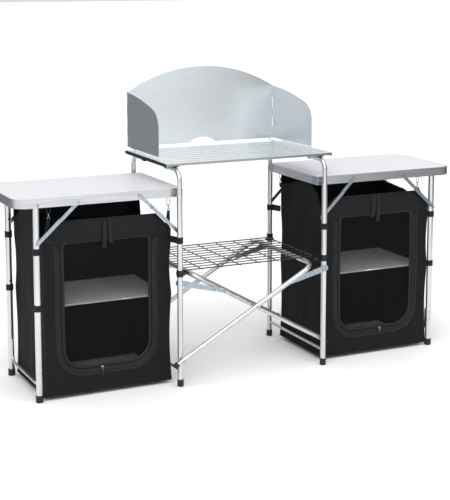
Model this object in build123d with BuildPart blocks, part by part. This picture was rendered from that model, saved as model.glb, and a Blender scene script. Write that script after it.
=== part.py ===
"""Folding camp kitchen table: two side tables with fabric cabinets, an X-frame centre with a wire
shelf, and a raised slatted shelf with a folding windscreen.  X runs along the length (the left table
is at -X), the front faces -Y and the feet stand on Z = 0.  All sizes in millimetres."""
from build123d import *
import os
from math import atan2, cos, degrees, hypot, radians, sin

os.makedirs("parts", exist_ok=True)

# ---- overall sizes -------------------------------------------------------------------------------
table_height = 800.0        # top surface of the side tables
inner_leg_x = 328.0         # tall legs, next to the centre bay
outer_leg_x = 897.0         # short folding legs
table_end_gap = 10.0        # tall leg to the table's end beside the centre bay
table_overhang = 91.0       # folding leg's axis to the table's far end
table_depth = 432.0         # front to back
gap = 0.3                   # ordinary clearance between neighbouring pieces
pin_clearance = 0.05        # radial running clearance of a pin in its hole

# ---- table tops ----------------------------------------------------------------------------------
rim_height = 35.0
rim_wall = 2.5
rim_ledge = 6.0             # inward width of the ledge that carries the board
rim_ledge_thickness = 2.0
rim_lip = 4.0               # inward width of the lip over the board's edge
rim_lip_thickness = 1.0
board_thickness = 10.5
outer_corner_radius = 60.0
inner_corner_radius = 6.0

# ---- legs ----------------------------------------------------------------------------------------
inner_leg_d = 22.0
outer_leg_d = 25.0
tube_wall = 1.5
leg_side_gap = 16.0         # from the rim's outer face to the tall leg
outer_leg_inset = 13.0      # from the rim's inner face to the folding leg
inner_leg_drop = 20.0       # from the table's top surface to the tall legs' tops
foot_height = 28.0
foot_wall = 2.0
foot_floor = 3.0
outer_leg_top_gap = 1.0     # from the folding legs' round tops to the board
hinge_pin_d = 6.0
crossbar_d = 12.0
crossbar_z = 65.0
crossbar_end_z = 160.0      # top of the bent-up ends that are riveted to the folding legs
crossbar_bend = 30.0

# ---- corner plates, bolts and rivets -------------------------------------------------------------
bracket_thickness = 2.5
bracket_front = 45.0        # along the long side, from the rim's corner
bracket_end = 40.0          # along the end, from the rim's corner
bracket_margin = 3.0        # left free above and below the plate
corner_bolt_drop = 18.0     # from the table's top surface
corner_bolt_d = 7.8
corner_spacer_d = 16.0
head_height = 1.6
stay_pin_d = 6.0
stay_head = 1.1             # pin beyond a stay
knee_head_d = 9.0
leg_rivet_d = 7.0

# ---- extension tubes -----------------------------------------------------------------------------
extension_clearance = 0.1   # radial, inside the tall leg
extension_wall = 1.2
extension_insert = 60.0
extension_bend = 45.0
extension_end_y = 116.0     # where the horizontal run ends, from the middle
extension_cap_length = 12.0
extension_cap_slot = 0.6
cap_wall = 1.5              # of the plastic caps on open tube ends
cap_floor = 3.0

# ---- braces --------------------------------------------------------------------------------------
brace_width = 14.0
brace_thickness = 2.0
brace_flange = 3.0
brace_pivot_d = 5.0
outer_brace_leg_drop = 175.0  # from the table's top surface to the pivot on the leg
outer_brace_reach = 163.0   # along the rim, from the leg's axis
outer_brace_rim_drop = 24.0
inner_brace_leg_drop = 172.0
inner_brace_reach = 157.0
inner_brace_rim_drop = 18.0
knee_share_outer = 0.583    # place of the knee along the brace, from the leg
knee_share_inner = 0.65

# ---- X frame -------------------------------------------------------------------------------------
x_tube_d = 20.0
x_pivot_z = 111.0           # lower pivots on the tall legs
x_cross_z = 296.0           # crossing bolt
x_arm_length = 680.0        # lower pivot to the upper cross tube
x_arm_tail = 35.0           # tube beyond the lower pivot
x_bend = 50.0
wide_gap = 4.0              # from the tall leg's outer face to the wide frame
narrow_gap = 5.0            # from the tall leg's inner face to the narrow frame
x_cap_length = 14.0
stay_leg_z = 420.0
stay_arm_distance = 522.0   # along the arm from its lower pivot
stay_thickness = 2.0
stay_slot = 34.0

# ---- wire shelf ----------------------------------------------------------------------------------
wire_shelf_z = 464.0
wire_shelf_end_inset = 28.0   # from the tall legs' axes to the frame wire's outside
wire_shelf_side_inset = 33.0
frame_wire_d = 5.0
grid_wire_d = 4.0
long_wires = 9              # between the front and back frame wires
cross_wires = 6             # between the two end frame wires
clip_height = 26.0
clip_wall = 3.0
clip_seat = (30.0, 26.0)    # size of the block that carries the shelf's corner
clip_seat_x = 14.0          # its middle, from the leg's axis towards the shelf
clip_seat_y = 23.0

# ---- slatted shelf -------------------------------------------------------------------------------
shelf_rise = 98.0           # above the side tables
shelf_length = 750.0
slat_count = 9
slat_width = 44.0
slat_gap = 5.0
slat_thickness = 10.0
slat_wall = 1.3
end_plate = 2.5             # black plates that close the slats' ends
end_plate_drop = 3.0        # reach of a plate below the slats
plug_length = 8.0           # plugs of the end plates, inside the slats
plug_clearance = 0.1
bearer_width = 18.0
bearer_height = 5.2

# ---- windscreen ----------------------------------------------------------------------------------
screen_end_inset = 27.0     # from the slatted shelf's end to the hinge axis
screen_back_gap = 35.5      # from the shelf's back edge to the hinge axis
sheet = 1.2
screen_gap = 10.0           # between the slatted shelf and the sheets
screen_corner_height = 231.0
screen_peak_height = 331.0
wing_depth = 343.0
wing_front_height = 126.0   # where the wing's front edge starts to round over
notch_width = 122.0
notch_height = 23.0
knuckle_r = 2.6
screen_pin_r = 1.2
knuckle_segments = 5
knuckle_gap = 0.5
screen_foot_inset = 18.0    # from the hinge axis
screen_foot_d = 3.0
screen_foot_reach = 50.0

# ---- cabinets ------------------------------------------------------------------------------------
cabinet_inner_gap = 6.0     # to the tall legs
cabinet_outer_gap = 4.5     # to the folding legs
cabinet_side_inset = 26.0   # from the rim's outer face
cabinet_bottom = 15.0
cabinet_front_drop = 100.0  # from the table's top surface to the front panel's edge
cabinet_back_drop = 45.0
cloth = 2.5
shoulder_x = 64.0
shoulder_z = 66.0
window_inner_margin = 95.0  # cloth beside the window
window_outer_margin = 90.0
window_bottom = 122.0
window_top_margin = 89.0    # cloth above the window
window_radius = 75.0
mesh_thickness = 1.2
cabinet_shelf_z = 365.0
cabinet_board = 6.0
strap_height = 25.0
strap_thickness = 2.5
outer_strap_heights = (372.0, 592.0)
inner_strap_height = 595.0
slider_x = 640.0
hook_wire_d = 2.5
hook_height = 34.0
hook_width = 13.0

# ---- places worked out from the sizes above ------------------------------------------------------
table_inner_x = inner_leg_x - inner_leg_d / 2 - table_end_gap
table_outer_x = outer_leg_x + table_overhang
inner_leg_top = table_height - inner_leg_drop
outer_brace_leg_z = table_height - outer_brace_leg_drop
outer_brace_rim_x = outer_leg_x - outer_brace_reach
inner_brace_leg_z = table_height - inner_brace_leg_drop
inner_brace_rim_x = inner_leg_x + inner_brace_reach
rim_y = table_depth / 2
rim_bottom = table_height - rim_height
board_top = table_height - rim_lip_thickness
board_bottom = board_top - board_thickness
inner_leg_y = rim_y + leg_side_gap + inner_leg_d / 2
extension_d = inner_leg_d - 2 * (tube_wall + extension_clearance)
leg_in = inner_leg_y - inner_leg_d / 2
leg_out = inner_leg_y + inner_leg_d / 2
outer_leg_y = rim_y - rim_wall - outer_leg_inset - outer_leg_d / 2
outer_hinge_z = board_bottom - outer_leg_d / 2 - outer_leg_top_gap
wire_shelf_length = 2 * (inner_leg_x - wire_shelf_end_inset)
wire_shelf_depth = 2 * (inner_leg_y - wire_shelf_side_inset)
shelf_top = table_height + shelf_rise
extension_z = shelf_top - slat_thickness - bearer_height - gap - extension_d / 2
wide_y = leg_out + wide_gap + x_tube_d / 2
narrow_y = leg_in - narrow_gap - x_tube_d / 2
arm_angle = atan2(x_cross_z - x_pivot_z, inner_leg_x)
shelf_depth = slat_count * slat_width + (slat_count - 1) * slat_gap
screen_hinge_x = shelf_length / 2 - screen_end_inset
screen_hinge_y = shelf_depth / 2 + screen_back_gap
screen_foot_x = screen_hinge_x - screen_foot_inset
screen_bottom = shelf_top + screen_gap
screen_corner_z = screen_bottom + screen_corner_height
screen_peak_z = screen_bottom + screen_peak_height
wing_front_z = screen_bottom + wing_front_height
cabinet_inner_x = inner_leg_x + inner_leg_d / 2 + cabinet_inner_gap
cabinet_outer_x = outer_leg_x - outer_leg_d / 2 - cabinet_outer_gap
cabinet_half_depth = rim_y - cabinet_side_inset
cabinet_front_top = table_height - cabinet_front_drop
cabinet_back_top = table_height - cabinet_back_drop
window_inner_x = cabinet_inner_x + window_inner_margin
window_outer_x = cabinet_outer_x - window_outer_margin
window_top = cabinet_front_top - window_top_margin
outer_brace_upper_y = rim_y - rim_wall - 2 - brace_thickness
outer_brace_lower_y = outer_brace_upper_y - 2 - brace_thickness
inner_brace_upper_y = rim_y + 2
inner_brace_lower_y = inner_brace_upper_y + brace_thickness + 2
SIDES = (("left", -1), ("right", 1))


def save(piece, name):
    """Label a finished piece and write it to its own file."""
    piece.part.label = name
    export_step(piece.part, f"parts/{name}.step")


def bent_tube(points, bend, outer_d, wall, both_sides=False):
    """One hollow tube along a filleted route, with its mirror image on the other side if asked."""
    with BuildPart() as tube:
        with BuildLine() as route:
            if len(points) == 2:
                Line(*points)
            else:
                FilletPolyline(*points, radius=bend)
        with BuildSketch(Plane(origin=route.line @ 0, z_dir=route.line % 0)):
            Circle(outer_d / 2)
            Circle(outer_d / 2 - wall, mode=Mode.SUBTRACT)
        sweep()
        if both_sides:
            mirror(about=Plane.XZ)
    return tube


def cross_pins(part_x, part_z, y_from, y_to, radius, mode=Mode.ADD):
    """Round pins or holes along Y at one place, front and back."""
    for face in (-1, 1):
        with BuildSketch(Plane(origin=(part_x, face * y_from, part_z), z_dir=(0, face, 0))) as disc:
            Circle(radius)
        extrude(disc.sketch, amount=y_to - y_from, mode=mode)


def link_plate(start, end, y_from, thickness, width, end_width=None):
    """Flat link with round ends between two pivots, front and back."""
    length = hypot(end[0] - start[0], end[1] - start[1])
    direction = ((end[0] - start[0]) / length, 0, (end[1] - start[1]) / length)
    end_width = end_width or width
    for face in (-1, 1):
        plane = Plane(origin=(start[0], face * y_from, start[1]), x_dir=direction, z_dir=(0, face, 0))
        with BuildSketch(plane) as outline:
            Circle(width / 2)
            with Locations((length, 0)):
                Circle(end_width / 2)
            make_hull()
        extrude(outline.sketch, amount=thickness)


# ==== side tables =================================================================================
def rim_outline(side, inset):
    """Plan outline of the table top, drawn in by the inset, as the current sketch's face."""
    middle = side * (table_inner_x + table_outer_x) / 2
    length = table_outer_x - table_inner_x - 2 * inset
    with Locations((middle, 0)):
        Rectangle(length, table_depth - 2 * inset)


def table_blank(side, inset, z_from, z_to, mode=Mode.ADD):
    """Solid of the table's plan shape between two heights, with its four corners rounded."""
    with BuildPart(mode=Mode.PRIVATE) as blank:
        with BuildSketch(Plane.XY.offset(z_from)) as plan:
            rim_outline(side, inset)
            outer = plan.vertices().sort_by(Axis.X)[-2:] if side > 0 else plan.vertices().sort_by(Axis.X)[:2]
            inner = plan.vertices().sort_by(Axis.X)[:2] if side > 0 else plan.vertices().sort_by(Axis.X)[-2:]
            fillet(outer, outer_corner_radius - inset)
            fillet(inner, max(inner_corner_radius - inset, 1.0))
        extrude(amount=z_to - z_from)
    return blank.part


for side_name, side in SIDES:
    with BuildPart() as table_rim:
        add(table_blank(side, 0, rim_bottom, table_height))
        add(table_blank(side, rim_wall, rim_bottom - 1, board_bottom - rim_ledge_thickness), mode=Mode.SUBTRACT)
        add(table_blank(side, rim_ledge, rim_bottom, board_bottom), mode=Mode.SUBTRACT)
        add(table_blank(side, rim_wall, board_bottom, board_top), mode=Mode.SUBTRACT)
        add(table_blank(side, rim_lip, board_top - 1, table_height + 1), mode=Mode.SUBTRACT)
        for pin_x, pin_z, pin_r in (
            (outer_leg_x, outer_hinge_z, hinge_pin_d / 2),
            (outer_brace_rim_x, table_height - outer_brace_rim_drop, brace_pivot_d / 2),
            (inner_brace_rim_x, table_height - inner_brace_rim_drop, brace_pivot_d / 2),
        ):
            cross_pins(side * pin_x, pin_z, rim_y - rim_wall - 1, rim_y + 1, pin_r, Mode.SUBTRACT)
    save(table_rim, f"{side_name}_table_rim")

    # The board's edge is stepped under the lip, so that its face lies level with the rim.
    with BuildPart() as table_board:
        add(table_blank(side, rim_wall + gap, board_bottom, board_top - pin_clearance))
        add(table_blank(side, rim_lip + gap, board_bottom, table_height))
    save(table_board, f"{side_name}_table_board")

    # Steel corner plates fold round the rim's inner corners; each carries the pivot of a tall leg.
    near = table_inner_x - gap
    far = near - bracket_thickness
    front = rim_y + gap
    plate_low = rim_bottom + bracket_margin
    plate_high = table_height - bracket_margin
    with BuildPart() as corner_brackets:
        for face in (-1, 1):
            with BuildSketch(Plane.XY.offset(plate_low)):
                with BuildLine():
                    Polyline(
                        (side * (table_inner_x + bracket_front), face * front),
                        (side * near, face * front),
                        (side * near, face * (rim_y - bracket_end)),
                        (side * far, face * (rim_y - bracket_end)),
                        (side * far, face * (front + bracket_thickness)),
                        (side * (table_inner_x + bracket_front), face * (front + bracket_thickness)),
                        close=True,
                    )
                make_face()
            extrude(amount=plate_high - plate_low)
        bolt_z = table_height - corner_bolt_drop
        plate_face = front + bracket_thickness
        cross_pins(side * inner_leg_x, bolt_z, rim_y, plate_face, corner_bolt_d / 2 + gap / 3, Mode.SUBTRACT)
    save(corner_brackets, f"{side_name}_corner_brackets")

    # Bolts and rivets of the table: leg pivots, brace pivots and the leg hinge pins.
    with BuildPart() as table_fasteners:
        cross_pins(side * inner_leg_x, bolt_z, plate_face, leg_in, corner_spacer_d / 2)
        cross_pins(side * inner_leg_x, bolt_z, rim_y, plate_face, corner_bolt_d / 2)
        cross_pins(side * outer_leg_x, outer_hinge_z, outer_leg_y - outer_leg_d / 2, rim_y, hinge_pin_d / 2)
        cross_pins(side * outer_leg_x, outer_hinge_z, rim_y, rim_y + 2, hinge_pin_d)
        for pin_x, drop in ((outer_brace_rim_x, outer_brace_rim_drop), (inner_brace_rim_x, inner_brace_rim_drop)):
            pin_z = table_height - drop
            inside = outer_brace_upper_y if pin_x == outer_brace_rim_x else rim_y - rim_wall - 1.5
            outside = rim_y + 1.8 if pin_x == outer_brace_rim_x else inner_brace_upper_y + brace_thickness
            cross_pins(side * pin_x, pin_z, inside, outside, brace_pivot_d / 2 - pin_clearance)
            cross_pins(side * pin_x, pin_z, outside, outside + head_height, brace_pivot_d)
        # The left pivots hold the wide frame outside its legs, the right ones the narrow frame inside.
        if side < 0:
            arm_face = wide_y + x_tube_d / 2
            cross_pins(-inner_leg_x, x_pivot_z, leg_out, arm_face + gap, hinge_pin_d / 2)
            cross_pins(-inner_leg_x, x_pivot_z, arm_face + gap, arm_face + 3, hinge_pin_d)
            cross_pins(-inner_leg_x, stay_leg_z, leg_in - stay_thickness - stay_head, leg_in, stay_pin_d / 2)
        else:
            arm_face = narrow_y - x_tube_d / 2
            cross_pins(inner_leg_x, x_pivot_z, arm_face - gap, leg_in, hinge_pin_d / 2)
            cross_pins(inner_leg_x, x_pivot_z, arm_face - 3, arm_face - gap, hinge_pin_d)
            cross_pins(inner_leg_x, stay_leg_z, leg_out, leg_out + stay_thickness + stay_head, stay_pin_d / 2)
    save(table_fasteners, f"{side_name}_fasteners")

# ==== legs, feet and crossbars ====================================================================
for side_name, side in SIDES:
    leg_x = side * inner_leg_x
    with BuildPart() as inner_legs:
        with Locations((leg_x, -inner_leg_y, foot_floor), (leg_x, inner_leg_y, foot_floor)):
            length = inner_leg_top - foot_floor
            Cylinder(inner_leg_d / 2, length, align=(Align.CENTER, Align.CENTER, Align.MIN))
            Cylinder(inner_leg_d / 2 - tube_wall, length, align=(Align.CENTER, Align.CENTER, Align.MIN),
                     mode=Mode.SUBTRACT)
    save(inner_legs, f"{side_name}_inner_legs")

    leg_x = side * outer_leg_x
    with BuildPart() as outer_legs:
        top = outer_hinge_z + outer_leg_d / 2
        with Locations((leg_x, -outer_leg_y, foot_floor), (leg_x, outer_leg_y, foot_floor)):
            length = top - foot_floor
            Cylinder(outer_leg_d / 2, length, align=(Align.CENTER, Align.CENTER, Align.MIN))
            Cylinder(outer_leg_d / 2 - tube_wall, length, align=(Align.CENTER, Align.CENTER, Align.MIN),
                     mode=Mode.SUBTRACT)
        # The tops are rounded about the hinge so that they swing clear of the board.
        with BuildSketch(Plane(origin=(0, -rim_y, 0), z_dir=(0, -1, 0), x_dir=(1, 0, 0))):
            with Locations((leg_x, outer_hinge_z + outer_leg_d)):
                Rectangle(4 * outer_leg_d, 2 * outer_leg_d)
            with Locations((leg_x, outer_hinge_z)):
                Circle(outer_leg_d / 2, mode=Mode.SUBTRACT)
        extrude(amount=-table_depth, mode=Mode.SUBTRACT)
        cross_pins(leg_x, outer_hinge_z, outer_leg_y - outer_leg_d, outer_leg_y + outer_leg_d,
                   hinge_pin_d / 2 + pin_clearance, Mode.SUBTRACT)
    save(outer_legs, f"{side_name}_outer_legs")

    for kind, leg_x, leg_y, leg_d in (
        ("inner", side * inner_leg_x, inner_leg_y, inner_leg_d),
        ("outer", side * outer_leg_x, outer_leg_y, outer_leg_d),
    ):
        with BuildPart() as feet:
            for face in (-1, 1):
                with BuildSketch(Plane.XY):
                    with Locations((leg_x, face * leg_y)):
                        Circle(leg_d / 2 + foot_wall)
                extrude(amount=foot_height)
                with BuildSketch(Plane.XY.offset(foot_floor)):
                    with Locations((leg_x, face * leg_y)):
                        Circle(leg_d / 2 + pin_clearance)
                extrude(amount=foot_height, mode=Mode.SUBTRACT)
            chamfer(feet.edges().filter_by(GeomType.CIRCLE).group_by(Axis.Z)[0], 1.5)
        save(feet, f"{side_name}_{kind}_feet")

    bar_y = leg_in
    bar_x = side * inner_leg_x
    save(bent_tube([(bar_x, -bar_y, crossbar_z), (bar_x, bar_y, crossbar_z)], 0, crossbar_d, tube_wall),
         f"{side_name}_inner_crossbar")

    bar_y = outer_leg_y - outer_leg_d / 2 - crossbar_d / 2
    bar_x = side * outer_leg_x
    route = [
        (bar_x, -bar_y, crossbar_end_z),
        (bar_x, -bar_y, crossbar_z),
        (bar_x, bar_y, crossbar_z),
        (bar_x, bar_y, crossbar_end_z),
    ]
    save(bent_tube(route, crossbar_bend, crossbar_d, tube_wall), f"{side_name}_outer_crossbar")

# ==== extension tubes =============================================================================
for side_name, side in SIDES:
    tube_x = side * inner_leg_x
    route = [
        (tube_x, -inner_leg_y, inner_leg_top - extension_insert),
        (tube_x, -inner_leg_y, extension_z),
        (tube_x, -extension_end_y, extension_z),
    ]
    save(bent_tube(route, extension_bend, extension_d, extension_wall, True), f"{side_name}_extension_tubes")

    with BuildPart() as extension_caps:
        for face in (-1, 1):
            cap_start = extension_end_y + extension_cap_length - cap_floor
            with BuildSketch(Plane(origin=(tube_x, face * cap_start, extension_z), z_dir=(0, -face, 0))):
                Circle(extension_d / 2 + cap_wall)
                Circle(extension_d / 2 + pin_clearance, mode=Mode.SUBTRACT)
            extrude(amount=extension_cap_length - cap_floor)
            with BuildSketch(Plane(origin=(tube_x, face * extension_end_y, extension_z), z_dir=(0, -face, 0))):
                Circle(extension_d / 2 + cap_wall)
            extrude(amount=cap_floor)
        # The caps are cut open on top, where the slatted shelf lies on the tube.
        flat_z = extension_z + extension_d / 2 - extension_cap_slot
        with Locations((tube_x, 0, flat_z)):
            Box(60, table_depth, 20, align=(Align.CENTER, Align.CENTER, Align.MIN), mode=Mode.SUBTRACT)
    save(extension_caps, f"{side_name}_extension_caps")


# ==== braces ======================================================================================
def along(start, end, share):
    """Point part of the way from start to end."""
    return (start[0] + (end[0] - start[0]) * share, start[1] + (end[1] - start[1]) * share)


for side_name, side in SIDES:
    leg_pivot = (side * outer_leg_x, outer_brace_leg_z)
    rim_pivot = (side * outer_brace_rim_x, table_height - outer_brace_rim_drop)
    knee = along(leg_pivot, rim_pivot, knee_share_outer)
    hole_r = brace_pivot_d / 2
    with BuildPart() as outer_brace_uppers:
        link_plate(rim_pivot, knee, outer_brace_upper_y, brace_thickness, brace_width)
        cross_pins(*rim_pivot, outer_brace_upper_y - 1, outer_brace_upper_y + 3, hole_r, Mode.SUBTRACT)
        cross_pins(*knee, outer_brace_upper_y + brace_thickness, outer_brace_upper_y + brace_thickness + 1, 4.0)
    save(outer_brace_uppers, f"{side_name}_outer_brace_uppers")

    with BuildPart() as outer_brace_lowers:
        link_plate(leg_pivot, knee, outer_brace_lower_y, brace_thickness, brace_width)
        length = hypot(knee[0] - leg_pivot[0], knee[1] - leg_pivot[1])
        direction = ((knee[0] - leg_pivot[0]) / length, 0, (knee[1] - leg_pivot[1]) / length)
        for face in (-1, 1):
            web = Plane(origin=(leg_pivot[0], face * outer_brace_lower_y, leg_pivot[1]), x_dir=direction,
                        z_dir=(0, -face, 0))
            with BuildSketch(web):
                with Locations((length / 2, brace_width / 2 - 0.75), (length / 2, 0.75 - brace_width / 2)):
                    Rectangle(length - 8, 1.5)
            extrude(amount=brace_flange)
        cross_pins(*leg_pivot, outer_brace_lower_y - 2.5, outer_brace_lower_y, leg_rivet_d / 2)
    save(outer_brace_lowers, f"{side_name}_outer_brace_lowers")

    leg_pivot = (side * inner_leg_x, inner_brace_leg_z)
    rim_pivot = (side * inner_brace_rim_x, table_height - inner_brace_rim_drop)
    knee = along(leg_pivot, rim_pivot, knee_share_inner)
    with BuildPart() as inner_braces:
        link_plate(rim_pivot, knee, inner_brace_upper_y, brace_thickness, brace_width)
        link_plate(leg_pivot, knee, inner_brace_lower_y, brace_thickness, brace_width)
        cross_pins(*rim_pivot, inner_brace_upper_y - 1, inner_brace_upper_y + 3, hole_r, Mode.SUBTRACT)
        brace_face = inner_brace_lower_y + brace_thickness
        cross_pins(*knee, inner_brace_upper_y - 1, brace_face, hole_r)
        cross_pins(*knee, brace_face, brace_face + head_height, knee_head_d / 2)
        cross_pins(*leg_pivot, brace_face, leg_in, leg_rivet_d / 2)
    save(inner_braces, f"{side_name}_inner_braces")


# ==== X frame =====================================================================================
def arm_point(side, distance):
    """Place in X and Z on an arm that starts at the lower pivot of the given side."""
    return (side * (inner_leg_x - distance * cos(arm_angle)), x_pivot_z + distance * sin(arm_angle))


def x_frame(side, arm_y):
    """U-shaped tube whose arms start at the lower pivots of one side, with its pivot holes."""
    low = arm_point(side, -x_arm_tail)
    high = arm_point(side, x_arm_length)
    route = [
        (low[0], -arm_y, low[1]),
        (high[0], -arm_y, high[1]),
        (high[0], arm_y, high[1]),
        (low[0], arm_y, low[1]),
    ]
    frame = bent_tube(route, x_bend, x_tube_d, tube_wall)
    with frame:
        hole = hinge_pin_d / 2 + pin_clearance
        cross_pins(*arm_point(side, 0), arm_y - x_tube_d, arm_y + x_tube_d, hole, Mode.SUBTRACT)
    return frame


def arm_caps(side, arm_y):
    """Plastic caps on the lower ends of an X frame's arms."""
    low = arm_point(side, -x_arm_tail)
    direction = Vector(side * cos(arm_angle), 0, -sin(arm_angle))
    with BuildPart() as caps:
        for face in (-1, 1):
            end = Vector(low[0], face * arm_y, low[1])
            with BuildSketch(Plane(origin=end - direction * (x_cap_length - cap_floor), z_dir=direction)):
                Circle(x_tube_d / 2 + cap_wall)
                Circle(x_tube_d / 2 + pin_clearance, mode=Mode.SUBTRACT)
            extrude(amount=x_cap_length - cap_floor)
            with BuildSketch(Plane(origin=end, z_dir=direction)):
                Circle(x_tube_d / 2 + cap_wall)
            extrude(amount=cap_floor)
    return caps


cross_hole = hinge_pin_d / 2 + pin_clearance
x_frame_wide = x_frame(-1, wide_y)
with x_frame_wide:
    cross_pins(0, x_cross_z, wide_y - x_tube_d, wide_y + x_tube_d, cross_hole, Mode.SUBTRACT)
save(x_frame_wide, "x_frame_wide")

x_frame_narrow = x_frame(1, narrow_y)
with x_frame_narrow:
    cross_pins(0, x_cross_z, narrow_y - x_tube_d, narrow_y + x_tube_d, cross_hole, Mode.SUBTRACT)
save(x_frame_narrow, "x_frame_narrow")

save(arm_caps(-1, wide_y), "wide_frame_caps")
save(arm_caps(1, narrow_y), "narrow_frame_caps")

with BuildPart() as cross_bolts:
    cross_pins(0, x_cross_z, narrow_y - x_tube_d / 2 - 1, wide_y + x_tube_d / 2, hinge_pin_d / 2)
    cross_pins(0, x_cross_z, wide_y + x_tube_d / 2, wide_y + x_tube_d / 2 + 3, hinge_pin_d)
    cross_pins(0, x_cross_z, narrow_y + x_tube_d / 2 + gap, wide_y - x_tube_d / 2, 5.5)
    cross_pins(0, x_cross_z, narrow_y - x_tube_d / 2 - 4, narrow_y - x_tube_d / 2 - gap, hinge_pin_d)
save(cross_bolts, "cross_bolts")

# Slotted stays run from the tall legs to the arms; the left pair lies inside its legs.
for side_name, side, stay_y in (
    ("left", -1, leg_in - gap - 0.4 - stay_thickness),
    ("right", 1, leg_out + gap + 0.4),
):
    start = (side * inner_leg_x, stay_leg_z)
    end = arm_point(-side, stay_arm_distance)
    with BuildPart() as stays:
        link_plate(start, end, stay_y, stay_thickness, 26.0, end_width=16.0)
        stay_hole = stay_pin_d / 2 + pin_clearance
        cross_pins(*start, stay_y - 1, stay_y + stay_thickness + 1, stay_hole, Mode.SUBTRACT)
        reach = hypot(end[0] - start[0], end[1] - start[1])
        direction = ((end[0] - start[0]) / reach, 0, (end[1] - start[1]) / reach)
        for face in (-1, 1):
            slot_plane = Plane(origin=(start[0], face * (stay_y - 1), start[1]), x_dir=direction, z_dir=(0, face, 0))
            with BuildSketch(slot_plane):
                with Locations((reach - stay_slot / 2, 0)):
                    SlotOverall(stay_slot + 7, 7)
            extrude(amount=stay_thickness + 2, mode=Mode.SUBTRACT)
    save(stays, f"{side_name}_stays")

# ==== wire shelf ==================================================================================
with BuildPart() as wire_shelf:
    half_x = wire_shelf_length / 2
    half_y = wire_shelf_depth / 2
    with BuildSketch(Plane.XY.offset(wire_shelf_z), mode=Mode.PRIVATE) as loop:
        RectangleRounded(wire_shelf_length, wire_shelf_depth, 14)
    frame_wire = loop.sketch.wires()[0]
    with BuildSketch(Plane(origin=frame_wire @ 0, z_dir=frame_wire % 0)):
        Circle(frame_wire_d / 2)
    sweep(path=frame_wire)
    pitch_y = wire_shelf_depth / (long_wires + 1)
    with BuildSketch(Plane.YZ.offset(-half_x)):
        with Locations(*[(-half_y + pitch_y * (i + 1), wire_shelf_z) for i in range(long_wires)]):
            Circle(grid_wire_d / 2)
    extrude(amount=wire_shelf_length)
    pitch_x = wire_shelf_length / (cross_wires + 1)
    drop = grid_wire_d - 0.6
    with BuildSketch(Plane.XZ.offset(-half_y)):
        with Locations(*[(-half_x + pitch_x * (i + 1), wire_shelf_z - drop) for i in range(cross_wires)]):
            Circle(grid_wire_d / 2)
    extrude(amount=wire_shelf_depth)
save(wire_shelf, "wire_shelf")

for side_name, side in SIDES:
    with BuildPart() as shelf_clips:
        seat_z = wire_shelf_z - frame_wire_d / 2 - gap
        base_z = seat_z - clip_height / 2
        for face in (-1, 1):
            centre = (side * inner_leg_x, face * inner_leg_y)
            with BuildSketch(Plane.XY.offset(base_z)):
                with Locations(centre):
                    Circle(inner_leg_d / 2 + clip_wall)
            extrude(amount=clip_height)
            with BuildSketch(Plane.XY.offset(base_z)):
                with Locations((side * (inner_leg_x - clip_seat_x), face * (inner_leg_y - clip_seat_y))):
                    Rectangle(*clip_seat)
            extrude(amount=seat_z - base_z)
            with BuildSketch(Plane.XY.offset(base_z - 1)):
                with Locations(centre):
                    Circle(inner_leg_d / 2 + pin_clearance)
            extrude(amount=clip_height + 2, mode=Mode.SUBTRACT)
    save(shelf_clips, f"{side_name}_shelf_clips")

# ==== slatted shelf ===============================================================================
slat_length = shelf_length - 2 * end_plate
slat_pitch = slat_width + slat_gap
slat_middle = shelf_top - slat_thickness / 2
slat_places = [((i - (slat_count - 1) / 2) * slat_pitch, slat_middle) for i in range(slat_count)]
slat_inside = (slat_width - 2 * slat_wall, slat_thickness - 2 * slat_wall)
with BuildPart() as shelf_slats:
    with BuildSketch(Plane.YZ.offset(-slat_length / 2)):
        with Locations(*slat_places):
            RectangleRounded(slat_width, slat_thickness, 1.5)
            Rectangle(*slat_inside, mode=Mode.SUBTRACT)
    extrude(amount=slat_length)
save(shelf_slats, "shelf_slats")

with BuildPart() as shelf_rails:
    for side in (-1, 1):
        with BuildSketch(Plane(origin=(side * slat_length / 2, 0, 0), x_dir=(0, 1, 0), z_dir=(side, 0, 0))) as plate:
            with Locations((0, side * (shelf_top - (slat_thickness + end_plate_drop) / 2))):
                RectangleRounded(shelf_depth, slat_thickness + end_plate_drop, 1.5)
        extrude(plate.sketch, amount=end_plate)
        with BuildSketch(Plane(origin=(side * slat_length / 2, 0, 0), x_dir=(0, 1, 0), z_dir=(-side, 0, 0))) as plugs:
            with Locations(*[(y, -side * z) for y, z in slat_places]):
                Rectangle(slat_inside[0] - 2 * plug_clearance, slat_inside[1] - 2 * plug_clearance)
        extrude(plugs.sketch, amount=plug_length)
        with Locations((side * inner_leg_x, 0, shelf_top - slat_thickness)):
            Box(bearer_width, shelf_depth - 2 * end_plate, bearer_height, align=(Align.CENTER, Align.CENTER, Align.MAX))
save(shelf_rails, "shelf_rails")


# ==== windscreen ==================================================================================
def knuckles(side, first):
    """Every second rolled knuckle of a finger hinge, starting at the given one."""
    height = (screen_corner_z - screen_bottom - 8) / knuckle_segments
    for index in range(first, knuckle_segments, 2):
        low = screen_bottom + 4 + index * height
        with BuildSketch(Plane.XY.offset(low + knuckle_gap / 2)) as roll:
            with Locations((side * screen_hinge_x, screen_hinge_y)):
                Circle(knuckle_r)
                Circle(screen_pin_r + pin_clearance, mode=Mode.SUBTRACT)
        extrude(roll.sketch, amount=height - knuckle_gap)


def clear_knuckles(side, first, around):
    """Cut the sheet away where the other leaf's knuckles turn."""
    height = (screen_corner_z - screen_bottom - 8) / knuckle_segments
    for index in range(first, knuckle_segments, 2):
        low = screen_bottom + 4 + index * height
        with Locations((*around, low - knuckle_gap / 2)):
            Box(4 * knuckle_r, 4 * knuckle_r, height + knuckle_gap,
                align=(Align.CENTER, Align.CENTER, Align.MIN), mode=Mode.SUBTRACT)


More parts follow.
